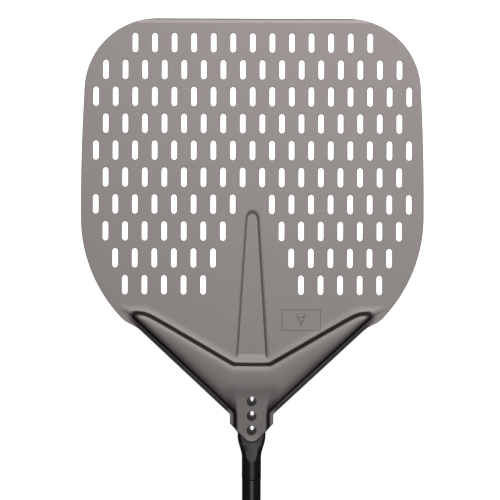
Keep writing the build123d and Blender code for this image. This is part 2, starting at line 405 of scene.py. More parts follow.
# Rings inside the sheet's edges: inset, drop and outward tilt of the normal, and what the
# rolled edge of the nose adds to the drop and the tilt.
EDGE_RINGS = (
    (0, 0.3, 1, 0.5, 1.5), (0.3, 0.05, 0.35, 0.4, 1.6), (0.8, 0, 0, 0.12, 0.8), (1.25, 0, 0, 0, 0),
)
NOSE_FADE = 5.0
THINNEST = 0.3  # the sheet at its milled edge
UNDER_INSET = 1.2  # the underside's walls stand this far inside the top's
UNDER_WIDENING = 0.3  # of the groove's underside, in widths of its walls

# Painted shade on the sheet: steeper walls and the neck's flat get a darker colour.
DARK_SLOPES = (0.7, 2.2)  # slopes between which painted shade darkens the colour
NECK_SHADE = 0.33  # share of the darkest painted shade, laid on the neck
NECK_SHADE_START = 18.0  # behind the front step
NECK_SHADE_END = along(444.0)
NECK_SHADE_REACH = 34.0  # to each side
NECK_SHADE_FADE = 12.0

MARK_CENTRE = (51.6, along(316.7))
MARK_SIZE = (41.0, 22.0)
MARK_LINE = 0.55
SLICE_TIP = -7.0  # from the mark's centre
SLICE_LENGTH = 14.0
SLICE_ANGLE = 44.0
SLICE_INNER = 0.86  # the slice's inner outline as a share of its outer one
DOTS = ((-1.7, 2.8), (2.0, 3.4), (0.1, -1.2))
DOT_RADIUS = 1.0


def arc(centre, radius, start, end, step):
    """Points along an arc between two angles in degrees, both ends included."""
    count = max(2, int(ceil(abs(radians(end - start)) * radius / step)))
    angles = np.radians(np.linspace(start, end, count + 1))
    return np.column_stack([centre[0] + radius * np.cos(angles), centre[1] + radius * np.sin(angles)])


def rounded_corner(before, corner, after, radius, step):
    """Points along the arc that rounds a corner between two straight runs."""
    before, corner, after = np.array(before), np.array(corner), np.array(after)
    to_before = (before - corner) / norm(before - corner)
    to_after = (after - corner) / norm(after - corner)
    half = np.arccos(np.clip(to_before @ to_after, -1, 1)) / 2
    reach = radius / np.tan(half)
    middle = to_before + to_after
    centre = corner + middle / norm(middle) * radius / np.sin(half)
    first = corner + to_before * reach - centre
    last = corner + to_after * reach - centre
    start = np.degrees(np.arctan2(first[1], first[0]))
    turn = np.degrees(np.arctan2(first[0] * last[1] - first[1] * last[0], first @ last))
    return arc(centre, radius, start, start + turn, step)


def resample(points, step):
    """The same closed line with extra points on its long runs."""
    result = []
    for here, there in zip(points, np.roll(points, -1, axis=0)):
        count = max(1, int(ceil(norm(there - here) / step)))
        for part in range(count):
            result.append(here + (there - here) * part / count)
    return np.array(result)


def circle_through(a, b, c):
    """Centre and radius of the circle through three points."""
    (ax, ay), (bx, by), (cx, cy) = a, b, c
    d = 2 * (ax * (by - cy) + bx * (cy - ay) + cx * (ay - by))
    a2, b2, c2 = ax * ax + ay * ay, bx * bx + by * by, cx * cx + cy * cy
    x = (a2 * (by - cy) + b2 * (cy - ay) + c2 * (ay - by)) / d
    y = (a2 * (cx - bx) + b2 * (ax - cx) + c2 * (bx - ax)) / d
    return (x, y), sqrt((ax - x) ** 2 + (ay - y) ** 2)


def blade_outline():
    """The blade's outline, anticlockwise, starting at the nose."""
    corner = (HALF_WIDTH - SIDE_NARROWING - CORNER_RADIUS, FRONT - CORNER_RADIUS)
    side_top = (corner[0] + CORNER_RADIUS, corner[1])
    side_middle = (HALF_WIDTH - SIDE_BOW * SIDE_NARROWING, (corner[1] + WIDEST) / 2)
    widest = (HALF_WIDTH, WIDEST)
    back_centre = (HALF_WIDTH - BACK_RADIUS, WIDEST)
    back_arc = arc(back_centre, BACK_RADIUS, -BACK_ARC_ANGLE, 0, 2.5)
    bend = rounded_corner(SHOULDER, back_arc[0], back_arc[1], SHOULDER_RADIUS, 1.5)
    from_bend = norm(back_arc - back_arc[0], axis=1)
    ear_front = (EAR_HALF_WIDTH, EAR)
    ear_back = (EAR_HALF_WIDTH, EAR - EAR_LENGTH)
    nose = (0, EAR - EAR_LENGTH - EAR_HALF_WIDTH)
    side_centre, side_radius = circle_through(side_top, side_middle, widest)
    side_start, side_end = [
        np.degrees(np.arctan2(p[1] - side_centre[1], p[0] - side_centre[0])) for p in (widest, side_top)
    ]
    right = np.vstack([
        rounded_corner((-EAR_HALF_WIDTH, ear_back[1]), nose, ear_back, NOSE_RADIUS, 0.8),
        rounded_corner(nose, ear_back, ear_front, EAR_RADIUS, 0.5),
        rounded_corner(ear_back, ear_front, SHOULDER, EAR_RADIUS, 0.5),
        rounded_corner(ear_front, SHOULDER, back_arc[0], SHOULDER_RADIUS, 1.5),
        bend,
        back_arc[from_bend > norm(bend[-1] - back_arc[0])],
        arc(side_centre, side_radius, side_start, side_end, 3.0)[1:],
        arc(corner, CORNER_RADIUS, 0, 90, 2.0)[1:],
    ])
    right = np.minimum(right[right[:, 0] > 0.05], (HALF_WIDTH, FRONT))
    left = right[::-1] * (-1, 1)
    return resample(np.vstack([right, left]), 3.0)


def slot_centres():
    """The centre of every perforation."""
    places = []
    for row, last in enumerate(LAST_SLOT):
        first = max(row % 2 / 2, (row - FIRST_CLEAR_ROW) / 2)
        y = along(FIRST_ROW + row * ROW_PITCH)
        for step in range(int(last - first) + 1):
            x = (first + step) * SLOT_PITCH
            places += [(x, y)] if x == 0 else [(x, y), (-x, y)]
    return np.array(places)


def slot_loop(centre, grow):
    """A perforation's edge, clockwise, moved out into the sheet by grow."""
    radius = SLOT_RADIUS + grow
    front = arc((0, SLOT_HALF_STRAIGHT), radius, 180, 0, radius * pi / SLOT_END_STEPS)
    rear = arc((0, -SLOT_HALF_STRAIGHT), radius, 0, -180, radius * pi / SLOT_END_STEPS)
    return resample(np.vstack([front, rear]), SLOT_SIDE_STEP) + centre


def loop_normals(loop):
    """Sideways directions out of the sheet at the points of a closed loop."""
    tangent = np.roll(loop, -1, axis=0) - np.roll(loop, 1, axis=0)
    tangent /= norm(tangent, axis=1)[:, None]
    return np.column_stack([tangent[:, 1], -tangent[:, 0]])


# ---- the pressed form, as a height over the flat sheet ----
def soft_max(a, b, blend):
    """The greater of two values, blended where they are close."""
    return (a + b + np.sqrt((a - b) ** 2 + blend ** 2)) / 2


def soft_min(a, b, blend):
    """The smaller of two values, blended where they are close."""
    return -soft_max(-a, -b, blend)


def smooth_step(value):
    """0 to 1, level at both ends."""
    value = np.clip(value, 0, 1)
    return value * value * (3 - 2 * value)


def step_distance(x, y):
    """How far a place is behind the front step of the wings."""
    a = np.sqrt(x * x + 1e-6)
    flat = STEP_Y - y
    arm = (a - STEP_HALF_FLAT) * sin(WING_ANGLE) - (y - STEP_Y) * cos(WING_ANGLE)
    return soft_min(soft_max(flat, arm, STEP_BEND), WING_TIP_Y - y, WING_TIP_BEND)


def rear_distance(x, y):
    """How far a place is inside the flange along the rear edges."""
    lean_length = sqrt(1 + REAR_LEAN ** 2)
    return (SHOULDER[0] + REAR_LEAN * (y - SHOULDER[1]) - np.abs(x)) / lean_length - FLANGE


def tip_distance(step, rear):
    """How far a place is inside the wings, with their tips rounded."""
    overlap = np.maximum(TIP_ROUND - np.abs(step - rear), 0) / TIP_ROUND
    return np.minimum(step, rear) - overlap ** 2 * TIP_ROUND / 4


def groove_distance(x, y):
    """How far a place is inside the centre groove's front and sides, in widths of their walls."""
    narrow, wide = GROOVE_HALF_WIDTHS
    share = (GROOVE_START - y) / (GROOVE_START - GROOVE_END)
    half = narrow + (wide - narrow) * share
    side = (half - np.abs(x)) / GROOVE_WALL
    front = (GROOVE_START - y) / GROOVE_FRONT_WALL
    middle = narrow / GROOVE_WALL
    return middle - np.hypot(np.maximum(middle - side, 0), np.maximum(middle - front, 0))


WALL_MIDDLE = 2.0  # inside the foot line, where a wall is steepest
WALL_BLEND = 1.15
LEAD_IN = 4.2  # length of the gentle ramp in front of the step
LEAD_IN_SLOPE = 0.2
LEAD_IN_SHARPNESS = 0.9
CREST = 3.2  # how slowly the step's top levels out
CREST_RISE = 1.2
LEAN_SLOPE = 0.08  # the wings' tops fall gently towards the neck
LEAN_REACH = 36.0
ROLL = (2.3, 3.5)  # how slowly the wings' rear roll levels out, at the tips and the neck
ROLL_WIDENING = 0.11  # share of the wings' width that the roll takes in between
ROLL_SHARE = 0.92  # share of the rise in that roll
ROLL_START = (2.0, 14.0)  # where the roll starts behind the wings' tips, and over what length
TIP_ROUND = 9.0  # how far back the rounding of the wings' tips begins
RAMP_FADE = 14.0  # how slowly the ramp fades out round the wings' tips
RIM_SLOPES = (0.35, 1.5)  # the flange's slopes at the rear edge and at the wall's foot
RIM_FADE = (EAR_HALF_WIDTH, 5.0)  # where it fades out at the ears, and over what length
RIM_START = (3.0, 15.0)  # where it starts behind the wings' tips, and over what length


def soft_ramp(distance, sharp=2.0):
    """Zero in front of a line and the distance behind it, with a softened start."""
    return np.logaddexp(0, distance * sharp) / sharp


def wall(distance):
    """A pressed wall's rise from 0 to 1."""
    return (1 + np.tanh((distance - WALL_MIDDLE) / WALL_BLEND)) / 2


def pressed_height(x, y, inset=0.0):
    """Height of the wings and the neck over the flat sheet; inset moves the walls inwards."""
    step = step_distance(x, y) - inset
    rear = rear_distance(x, y) - inset
    neck = NECK_HALF_WIDTH - np.abs(x) - inset
    tip = tip_distance(step, rear)
    rolled = ROLL_SHARE * smooth_step((step - ROLL_START[0]) / ROLL_START[1])
    roll = 1 - rolled * np.exp(-soft_ramp(rear) / np.clip((step + rear) * ROLL_WIDENING, *ROLL))
    inside_neck = wall(neck) * wall(step)
    wings = 1 - (1 - wall(tip) * roll) * (1 - inside_neck)
    step_side = smooth_step((rear - step) / RAMP_FADE + 0.5)
    ramp = (soft_ramp(tip + LEAD_IN, LEAD_IN_SHARPNESS) - soft_ramp(tip)) / LEAD_IN * step_side
    lead_in = LEAD_IN_SLOPE * LEAD_IN * (1 - (1 - ramp) * (1 - wings))
    crest = CREST_RISE * (1 - np.exp(-soft_ramp(step - 2 * WALL_MIDDLE) / CREST))
    lean = LEAN_SLOPE * soft_ramp(LEAN_REACH - step, 0.5)
    steep = WING_RISE - LEAD_IN_SLOPE * LEAD_IN - CREST_RISE
    across = np.clip((rear + inset) / FLANGE + 1, 0, 1)
    flange = FLANGE * across * (RIM_SLOPES[0] + (RIM_SLOPES[1] - RIM_SLOPES[0]) * across / 2)
    flange *= smooth_step((np.abs(x) - RIM_FADE[0]) / RIM_FADE[1])
    flange *= smooth_step((step - RIM_START[0]) / RIM_START[1])
    return (steep + crest + lean) * wings + lead_in + flange * (1 - wings)


def groove_sink(x, y, widen=0.0):
    """Depth of the centre groove under the flat sheet."""
    inside = np.clip(groove_distance(x, y) + widen, 0, 1)
    rear = np.clip((y - GROOVE_END) / GROOVE_REAR_WALL + widen, 0, 1)
    return GROOVE_DEPTH * inside ** 2 * rear * (2 - rear)


def top_height(x, y):
    """Height of the sheet's top over the ground."""
    bevel = BEVEL_DROP * np.clip((y - FRONT) / BEVEL_DEPTH + 1, 0, 2)
    bevel += BEVEL_NOSE / 2 * np.clip((y - FRONT) / BEVEL_NOSE + 1, 0, 2) ** 2
    return SHEET_TOP + pressed_height(x, y) - groove_sink(x, y) - bevel


def under_height(x, y):
    """Height of the sheet's underside over the ground."""
    return GROOVE_DEPTH + pressed_height(x, y, UNDER_INSET) - groove_sink(x, y, UNDER_WIDENING)


# ---- triangles over the outline ----
SPACINGS = (0.8, 1.6, 3.0, 5.0)  # of the mesh's points, from the walls to the flat sheet
GRID_CLEARANCE = 0.9  # share of its spacing that a grid's point keeps from the lines
WALL_ROWS = np.arange(-0.4, 5.4, 0.4)  # contours that the mesh follows on the raised form's walls
GROOVE_ROWS = (1.0, 0.1, 0.35, 0.6, 0.8, 0.9, 1.1)  # and on the groove's, in widths of its walls
ROW_STEP = 1.1  # between the points along a contour
ROW_REACH = (1.3, 0.1)  # how far off it may lie: share of the first point's distance, and more
ROW_ACCURACY = 0.02
SHIFT_ROUNDS = 4  # Newton steps that bring a point onto a contour
ROW_MARGIN = 0.3  # between the contours' points and the innermost edge ring
ROW_CLEARANCE = 0.35  # between the points of two contours
CORNER_SHARE = 0.08  # how far inside a triangle's corner its normal is read


def inside_polygon(points, loop):
    """Which points lie inside a closed loop."""
    x, y = points.T
    inside = np.zeros(len(points), bool)
    for (x1, y1), (x2, y2) in zip(loop, np.roll(loop, -1, axis=0)):
        if y1 == y2:
            continue
        crosses = (y1 > y) != (y2 > y)
        inside ^= crosses & (x < (x2 - x1) * (y - y1) / (y2 - y1) + x1)
    return inside


def slot_clearance(points, centres):
    """Distance from each point to the nearest perforation's edge."""
    nearest = np.full(len(points), np.inf)
    for x, y in centres:
        dx = points[:, 0] - x
        dy = np.maximum(np.abs(points[:, 1] - y) - SLOT_HALF_STRAIGHT, 0)
        nearest = np.minimum(nearest, np.hypot(dx, dy) - SLOT_RADIUS)
    return nearest


def wanted_spacing(x, y):
    """How close together the mesh's points are at a place, by its distance from the form's lines."""
    finest, fine, coarse, coarsest = SPACINGS
    spacing = np.full(len(x), coarsest)
    step = step_distance(x, y) - WALL_MIDDLE
    rear = rear_distance(x, y)
    neck = NECK_HALF_WIDTH - np.abs(x)
    groove = groove_distance(x, y)
    behind = step > -12
    edge = np.where(np.abs(x) < EAR_HALF_WIDTH, np.maximum(rear, neck), rear)
    spacing[behind & (edge > -8)] = coarse
    spacing[(np.abs(step) < 9) & (edge > -6)] = fine
    spacing[behind & (edge > -4) & (edge < 11)] = fine
    spacing[(groove > -1) & (groove < 2.4) & (step < 0)] = fine
    spacing[(np.abs(step) < 3.6) & (edge > -3)] = finest
    spacing[(step > -3) & (edge > -1.5) & (edge < 6)] = finest
    spacing[(groove > -0.3) & (groove < 1.3) & (step < -4)] = finest
    return spacing


def raised_distance(x, y):
    """How far a place is inside the foot of the wings and the neck."""
    step = step_distance(x, y)
    neck = np.minimum(NECK_HALF_WIDTH - np.abs(x), step)
    return np.maximum(tip_distance(step, rear_distance(x, y)), neck)


def shift_to(points, distance, value):
    """Moves points straight across a distance's contours to where it has a value."""
    for _ in range(SHIFT_ROUNDS):
        x, y = points.T
        along_x, along_y = slope(x, y, distance)
        share = (distance(x, y) - value) / (along_x ** 2 + along_y ** 2)
        points = points - np.column_stack([along_x * share, along_y * share])
    return points


def wall_rows(distance, start_y, last_y, values, base):
    """Rows of points along a wall's contours on both sides, from the centre line to its end."""
    line = [shift_to(np.array([(0.0, start_y)]), distance, base)[0]]
    while line[-1][1] > last_y:
        x, y = line[-1]
        along_x, along_y = slope(np.array([x]), np.array([y]), distance)
        across = np.array([-along_y[0], along_x[0]])
        ahead = line[-1] + across * ROW_STEP / norm(across)
        line.append(shift_to(ahead[None, :], distance, base)[0])
    line = np.array(line)
    rows = []
    for value in values:
        row = shift_to(line, distance, value)
        reach = ROW_REACH[0] * norm(row[0] - line[0]) + ROW_REACH[1]
        close = norm(row - line, axis=1) < reach
        row = row[close & (np.abs(distance(*row.T) - value) < ROW_ACCURACY)]
        rows += [row, row[row[:, 0] > 0.1] * (-1, 1)]
    return np.vstack(rows)


def search_tree(points):
    """A tree that finds the points near a place."""
    tree = kdtree.KDTree(len(points))
    for number, (x, y) in enumerate(points):
        tree.insert((x, y, 0), number)
    tree.balance()
    return tree


def thin_out(points, spacing):
    """The same points without those too close to an earlier one."""
    tree = search_tree(points)
    kept = [
        number for number, (x, y) in enumerate(points)
        if min(found[1] for found in tree.find_range((x, y, 0), spacing)) == number
    ]
    return points[kept]


def fill_points(loops):
    """Points between the loops on triangular grids, as fine as the form needs."""
    tree = search_tree(np.vstack(loops))
    kept = []
    for spacing in SPACINGS:
        rows = np.arange(BACK, FRONT, spacing * sqrt(3) / 2)
        columns = np.arange(0, HALF_WIDTH, spacing)
        for number, y in enumerate(rows):
            x = columns + (spacing / 2 if number % 2 else 0)
            x = np.concatenate([-x[x > 0][::-1], x])
            chosen = wanted_spacing(x, np.full(len(x), y)) == spacing
            for place in x[chosen]:
                if tree.find((place, y, 0))[2] > GRID_CLEARANCE * spacing:
                    kept.append((place, y))
    return np.array(kept)


def rectangle(centre, size, step):
    """A closed rectangle with extra points on its sides."""
    half = np.array(size) / 2
    corners = np.array([(-1, -1), (1, -1), (1, 1), (-1, 1)]) * half + centre
    return resample(corners, step)


def mark_loops():
    """The outlines of the etched mark, outer and inner in turn: a frame, a slice and its dots."""
    frame_outer = rectangle(MARK_CENTRE, MARK_SIZE, 4)
    frame_inner = rectangle(MARK_CENTRE, np.array(MARK_SIZE) - 2 * MARK_LINE, 4)
    crust = arc((0, SLICE_TIP), SLICE_LENGTH, 90 - SLICE_ANGLE / 2, 90 + SLICE_ANGLE / 2, 1.5)
    slice_outer = np.vstack([[(0, SLICE_TIP)], crust])
    slice_middle = slice_outer.mean(axis=0)
    slice_inner = slice_middle + (slice_outer - slice_middle) * SLICE_INNER
    dots = [arc(dot, DOT_RADIUS, 0, 360, 0.7)[:-1] for dot in DOTS]
    drawn = [resample(loop, 2) + MARK_CENTRE for loop in (slice_outer, slice_inner)]
    return [frame_outer, frame_inner] + drawn + [dot + MARK_CENTRE for dot in dots]


def in_mark(points, loops):
    """Which points lie on the etched lines: between each pair of outlines, or in a dot."""
    frame_outer, frame_inner, slice_outer, slice_inner, *dots = [
        inside_polygon(points, loop) for loop in loops
    ]
    return np.any([frame_outer & ~frame_inner, slice_outer & ~slice_inner, *dots], axis=0)


def edge_rings(outline, centres):
    """Loops inside every edge of the sheet, with their points' drops and normals' tilts."""
    rings, drops, tilts = [], [], []
    for inset, drop, tilt, nose_drop, nose_tilt in EDGE_RINGS:
        ring = [outline - loop_normals(outline) * inset] + [slot_loop(c, inset) for c in centres]
        for loop in ring:
            nose = smooth_step((EAR - EAR_LENGTH - loop[:, 1]) / NOSE_FADE)
            drops.append(drop + nose_drop * nose)
            tilts.append(loop_normals(loop) * (tilt + nose_tilt * nose)[:, None])
        rings += ring
    return rings, np.concatenate(drops), np.vstack(tilts)


def contour_points(outline):
    """Points in rows along the walls' contours, clear of the edge rings."""
    rows = np.vstack([
        wall_rows(raised_distance, STEP_Y, BACK, WALL_ROWS, WALL_MIDDLE),
        wall_rows(groove_distance, GROOVE_START, GROOVE_END, GROOVE_ROWS, 1),
    ])
    margin = outline - loop_normals(outline) * (EDGE_RINGS[-1][0] + ROW_MARGIN)
    return thin_out(rows[inside_polygon(rows, margin)], ROW_CLEARANCE)


def triangulate(closed, line, loose, outline, centres):
    """Triangles over the sheet through closed loops, an open line and loose points.

    Gives the flat points in use, the triangles, and the number that each point put in now has.
    """
    points = np.vstack(closed + [line, loose])
    constraints = []
    start = 0
    for loop in closed:
        constraints += [(start + i, start + j) for i, j in around(len(loop))]
        start += len(loop)
    constraints += [(start + i, start + i + 1) for i in range(len(line) - 1)]
    found = geometry.delaunay_2d_cdt([Vector(p) for p in points], constraints, [], 0, 1e-4)
    flat = np.array([tuple(v) for v in found[0]])
    triangles = np.array(found[2])
    place = np.full(len(points), -1)
    for number, sources in enumerate(found[3]):
        place[sources] = number

    middle = flat[triangles].mean(axis=1)
    triangles = triangles[inside_polygon(middle, outline) & (slot_clearance(middle, centres) > 0)]
    used = np.unique(triangles)
    number_of = np.full(len(flat), -1)
    number_of[used] = np.arange(len(used))
    return flat[used], number_of[triangles], number_of[place]


def edge_walls(edges, place, count):
    """Quads from the top down to the underside along every edge, and their corners' normals."""
    faces, normals = [], []
    start = 0
    for loop in edges:
        outward = loop_normals(loop)
        for i, j in around(len(loop)):
            here, there = int(place[start + i]), int(place[start + j])
            faces.append((here, here + count, there + count, there))
            normals += [outward[i], outward[i], outward[j], outward[j]]
        start += len(loop)
    return faces, np.column_stack([normals, np.zeros(len(normals))])


def blade():
    """The pressed, perforated sheet as one closed mesh with exact shading normals."""
    centres = slot_centres()
    outline = blade_outline()
    rings, drops, tilts = edge_rings(outline, centres)
    marks = mark_loops()
    bevel_reach = HALF_WIDTH - SIDE_NARROWING - CORNER_RADIUS
    bevel_reach += sqrt(CORNER_RADIUS ** 2 - (CORNER_RADIUS - BEVEL_DEPTH) ** 2)
    bevel_x = np.arange(-bevel_reach + BEVEL_MARGIN, bevel_reach - BEVEL_MARGIN, BEVEL_STEP)
    bevel_line = np.column_stack([bevel_x, np.full(len(bevel_x), FRONT - BEVEL_DEPTH)])
    rows = contour_points(outline)
    loose = np.vstack([rows, fill_points(rings + marks + [bevel_line, rows])])
    flat, triangles, place = triangulate(rings + marks, bevel_line, loose, outline, centres)

    count = len(flat)
    drop = np.zeros(count)
    tilt = np.zeros((count, 2))
    drop[place[:len(drops)]] = drops
    tilt[place[:len(drops)]] = tilts
    x, y = flat.T
    top = np.column_stack([x, y, top_height(x, y) - drop])
    under = np.column_stack([x, y, np.maximum(under_height(x, y), 0) + drop])
    under[:, 2] = np.minimum(under[:, 2], top[:, 2] - THINNEST)
    walls, wall_normals = edge_walls(rings[:1 + len(centres)], place, count)
    faces = np.vstack([triangles, triangles[:, ::-1] + count]).tolist() + walls
    piece = add_piece(
        "blade_sheet", (np.vstack([top, under]), faces), "head",
        [SHEET_METAL, MILLED, ETCHED], "blade", sharp=None,
    )

    middle = flat[triangles].mean(axis=1)
    kinds = np.zeros(len(faces), int)
    milled = (middle[:, 1] > FRONT - BEVEL_DEPTH) & (np.abs(middle[:, 0]) < bevel_reach)
    kinds[:len(middle)][milled] = 1
    kinds[:len(middle)][in_mark(middle, marks)] = 2
    piece.data.polygons.foreach_set("material_index", kinds)
    normals = np.vstack([
        face_normals(triangles, flat, middle, tilt, top_height, 1),
        face_normals(triangles[:, ::-1], flat, middle, tilt, under_height, -1),
        wall_normals,
    ])
    piece.data.normals_split_custom_set(normals.tolist())
    # Each point's share of painted shade, read by the sheet's material.
    shade_layer = piece.data.attributes.new(PAINTED_SHADE_ATTRIBUTE, "FLOAT", "POINT")
    shares = [painted_shade_share(x, y, height) for height in (top_height, under_height)]
    shade_layer.data.foreach_set("value", np.concatenate(shares))


def slope(x, y, height, reach=0.02):
    """How steeply a height rises along X and along Y."""
    along_x = (height(x + reach, y) - height(x - reach, y)) / (2 * reach)
    along_y = (height(x, y + reach) - height(x, y - reach)) / (2 * reach)
    return along_x, along_y


def painted_shade_share(x, y, height):
    """How much painted shade darkens the colour: on steep walls, and a little on the neck."""
    first, last = DARK_SLOPES
    # Painted shade on the walls, growing with their slope.
    drawn = np.clip((np.hypot(*slope(x, y, height)) - first) / (last - first), 0, 1)
    start, end, reach = NECK_SHADE_START, NECK_SHADE_END, NECK_SHADE_REACH
    # A lighter painted shade over the neck's flat.
    neck = smooth_step((step_distance(x, y) - start) / NECK_SHADE_FADE)
    neck *= smooth_step((y - end) / NECK_SHADE_FADE) * smooth_step((reach - np.abs(x)) / NECK_SHADE_FADE)
    return np.maximum(drawn, NECK_SHADE * neck)


def face_normals(triangles, flat, middle, tilt, height, side):
    """The form's own normals at each triangle's corners, tilted outwards at rounded edges."""
    corners = flat[triangles]
    near = corners + CORNER_SHARE * (middle[:, None, :] - corners)
    x, y = near.reshape(-1, 2).T
    slope_x, slope_y = slope(x, y, height)
    normal = np.column_stack([-slope_x * side, -slope_y * side, np.full(len(x), float(side))])
    normal[:, :2] += tilt[triangles].reshape(-1, 2)
    return normal / norm(normal, axis=1)[:, None]


blade()


# ======== The neck tube, pressed flat under the blade's neck ========
TUBE_WALL = 1.5
NECK_LOW, NECK_HIGH = node_box("neck_tube")
NECK_R = (NECK_HIGH[2] - NECK_LOW[2]) / 2
FLAT_HALF_WIDTH = (NECK_HIGH[0] - NECK_LOW[0]) / 2
FLAT_THICKNESS = 4.2
FLAT_TOP = NECK_TOP - SHEET
FLAT_END = along(446.0)
ROUND_START = along(464.0)
WIDENING_START = along(460.0)
WIDENING_LENGTH = 22.0
PRESS_EASING = 0.012  # how far the pressed ramp bends off a straight one
FACET_GROWTH = (3.0, 0.33)  # the facet's half-width: factor and power of the distance from its tip
FACET_OPENING = (18.0, 12.0)  # where it opens out to the flat's full width, and over what length
CREASE = 24.0  # how sharply the facet meets the tube's sides, degrees
ARC_STEPS = 14
FLAT_STEPS = 6
NECK_RINGS = (12, 34, 8)  # along the flat, the widening and the round part
EDGE_BREAK = 0.4  # broken edges at the tubes' ends
EDGE_MIDDLE = 0.1  # the middle of a broken edge, in from both faces


def tube_section(y, skin):
    """One ring of the neck tube at a place along it, its wall thinned by skin."""
    pressed = np.clip((y - ROUND_START) / (FLAT_END - ROUND_START), 0, 1)
    eased = pressed - PRESS_EASING * np.sin(2 * pi * pressed)
    half = NECK_R + (FLAT_HALF_WIDTH - NECK_R) * smooth_step((y - WIDENING_START) / WIDENING_LENGTH)
    top = AXIS_Z + NECK_R + (FLAT_TOP - AXIS_Z - NECK_R) * eased - skin
    low = AXIS_Z - NECK_R + (FLAT_TOP - FLAT_THICKNESS - AXIS_Z + NECK_R) * eased + skin
    from_tip = max(y - ROUND_START, 0.01)
    full = FLAT_HALF_WIDTH - FLAT_THICKNESS / 2
    factor, power = FACET_GROWTH
    opening = smooth_step((from_tip - FACET_OPENING[0]) / FACET_OPENING[1])
    facet = factor * from_tip ** power
    facet = min(facet + (full - facet) * opening, half - FLAT_THICKNESS / 2)
    stop = radians(90 - CREASE * sin(pi * pressed))
    angles = np.linspace(stop, -stop, ARC_STEPS + 1)
    reach = (np.cos(angles) - cos(stop)) / (1 - cos(stop))
    side_x = facet + (half - skin - facet) * reach
    side_z = (top + low) / 2 + (top - low) / 2 * np.sin(angles) / sin(stop)
    across = np.linspace(-facet, facet, FLAT_STEPS + 1)[1:-1]
    x = np.concatenate([side_x, across[::-1], -side_x[::-1], across])
    z = np.concatenate([side_z, np.full(len(across), low), side_z[::-1], np.full(len(across), top)])
    return np.column_stack([x, np.full(len(x), y), z])


def neck_tube():
    """A round tube whose front end is pressed flat."""
    end = NECK_LOW[1]
    widening_end = WIDENING_START + WIDENING_LENGTH
    places = np.concatenate([
        np.linspace(NECK_HIGH[1], widening_end, NECK_RINGS[0]),
        np.linspace(widening_end, ROUND_START, NECK_RINGS[1])[1:],
        np.linspace(ROUND_START, end + 2 * EDGE_BREAK, NECK_RINGS[2])[1:],
        [end + EDGE_BREAK, end + EDGE_MIDDLE, end],
    ])
    outside = [tube_section(y, 0) for y in places[:-2]]
    outside += [tube_section(end + EDGE_MIDDLE, EDGE_MIDDLE), tube_section(end, EDGE_BREAK)]
    inside = [tube_section(y, TUBE_WALL) for y in places[::-1]]
    shape = loft((outside + inside)[::-1])
    add_piece("neck_tube_body", shape, "head", [NECK_BLACK], "neck_tube", 20)


neck_tube()


# ======== Rivets ========
RIVET_SIDES = 48
DOME_R = 9.0  # of the low dome on a rivet's head
DOME_TOP = 3.0  # the dome's first ring, degrees from its top
RIM_ANGLE = 26.0  # where the dome turns into the steep rim, degrees from its top
RIM_POWER = 1.6  # how much steeper the rim falls towards its foot
RIM_FOOT = 0.4  # height of the straight foot under the rim
HEAD_CHAMFER = (0.12, 0.1)  # in and up, where the head meets the neck
SHANK_R = 2.5
# The set tail, as radius and depth under the tube, and the rest of it with its dimple, as
# radius and height over the rivet's lowest place.
TAIL = ((SHANK_R, 0), (3.8, 0), (4.0, 0.2), (4.0, 1.0), (3.7, 1.45))
DIMPLE = ((3.1, 0), (1.4, 0), (0.9, 0.35), (0, 0.45))


def rounded_rings(centre_radius, centre_place, size, start, end, steps):
    """Rings along a circular arc of a turned profile; angles in degrees from the radius direction."""
    angles = np.radians(np.linspace(start, end, steps + 1))
    return [(centre_radius + size * cos(a), centre_place + size * sin(a)) for a in angles]


def rivet(name):
    """A domed rivet with a slightly flared rim, its shank and its set tail with a centre dimple."""
    low, high = node_box(name)
    head_r = (high[0] - low[0]) / 2
    rings = [(0, high[2])]
    rings += rounded_rings(0, high[2] - DOME_R, DOME_R, 90 - DOME_TOP, 90 - RIM_ANGLE, 10)
    rim_x, rim_z = rings[-1]
    for share in np.linspace(0, 1, 7)[1:]:
        radius = rim_x + (head_r - rim_x) * sin(pi / 2 * share)
        rings.append((radius, rim_z - (rim_z - NECK_TOP - RIM_FOOT) * share ** RIM_POWER))
    rings += [(head_r, NECK_TOP + HEAD_CHAMFER[1]), (head_r - HEAD_CHAMFER[0], NECK_TOP)]
    rings += [(SHANK_R, NECK_TOP)]
    rings += [(radius, FLAT_TOP - FLAT_THICKNESS - depth) for radius, depth in TAIL]
    rings += [(radius, low[2] + height) for radius, height in DIMPLE]
    points, faces = lathe(rings, RIVET_SIDES)
    points = points + (0, (low[1] + high[1]) / 2, 0)
    add_piece(f"{name}_body", (points, faces), "head", [RIVET_STEEL], name)


for rivet_name in RIVETS:
    rivet(rivet_name)


# ======== The screw joint ========
PITCH = 1.5
THREAD_DEPTH = 0.85
THREAD_SIDES = 40
THREAD_STEPS = 8  # rings for each turn of thread
THREAD_RUN_OUT = 1.2  # length over which a thread starts from nothing
THREAD_PLAY = 0.1  # between the stud's crests and the bush's roots
STUD_CHAMFER = 0.5
STUD_TIP = 0.8  # length of the chamfer at the stud's front
INSERT_BREAK = 0.4  # broken outer edge at the bush's front
INSERT_LEAD_IN = 0.8  # chamfer where the stud enters
INSERT_RELIEF = (1.2, 1.0)  # where the bush's thread and its core hole end, from its front
JOINT_SIDES = 64  # of the washer and the plug
WASHER_BORE = 5.3
WASHER_CLEARANCE = 0.02  # between the washer and each face that presses on it
PLUG_BORE = 5.0
PLUG_BORE_DEPTH = 20.0
# The plug's face, as radius and depth: a chamfered bore, then a shallow ring groove.
PLUG_FACE = ((PLUG_BORE, 0.4), (PLUG_BORE + 0.4, 0), (6.6, 0), (6.7, 0.25), (7.1, 0.25), (7.2, 0))
PLUG_CHAMFER = 0.5


def round_ring(radius, y):
    """A ring of points about the handle's axis; its radius may be different at each point."""
    angles = 2 * pi * np.arange(THREAD_SIDES) / THREAD_SIDES
    return np.column_stack([
        radius * np.cos(angles), np.full(THREAD_SIDES, y), AXIS_Z + radius * np.sin(angles)
    ])


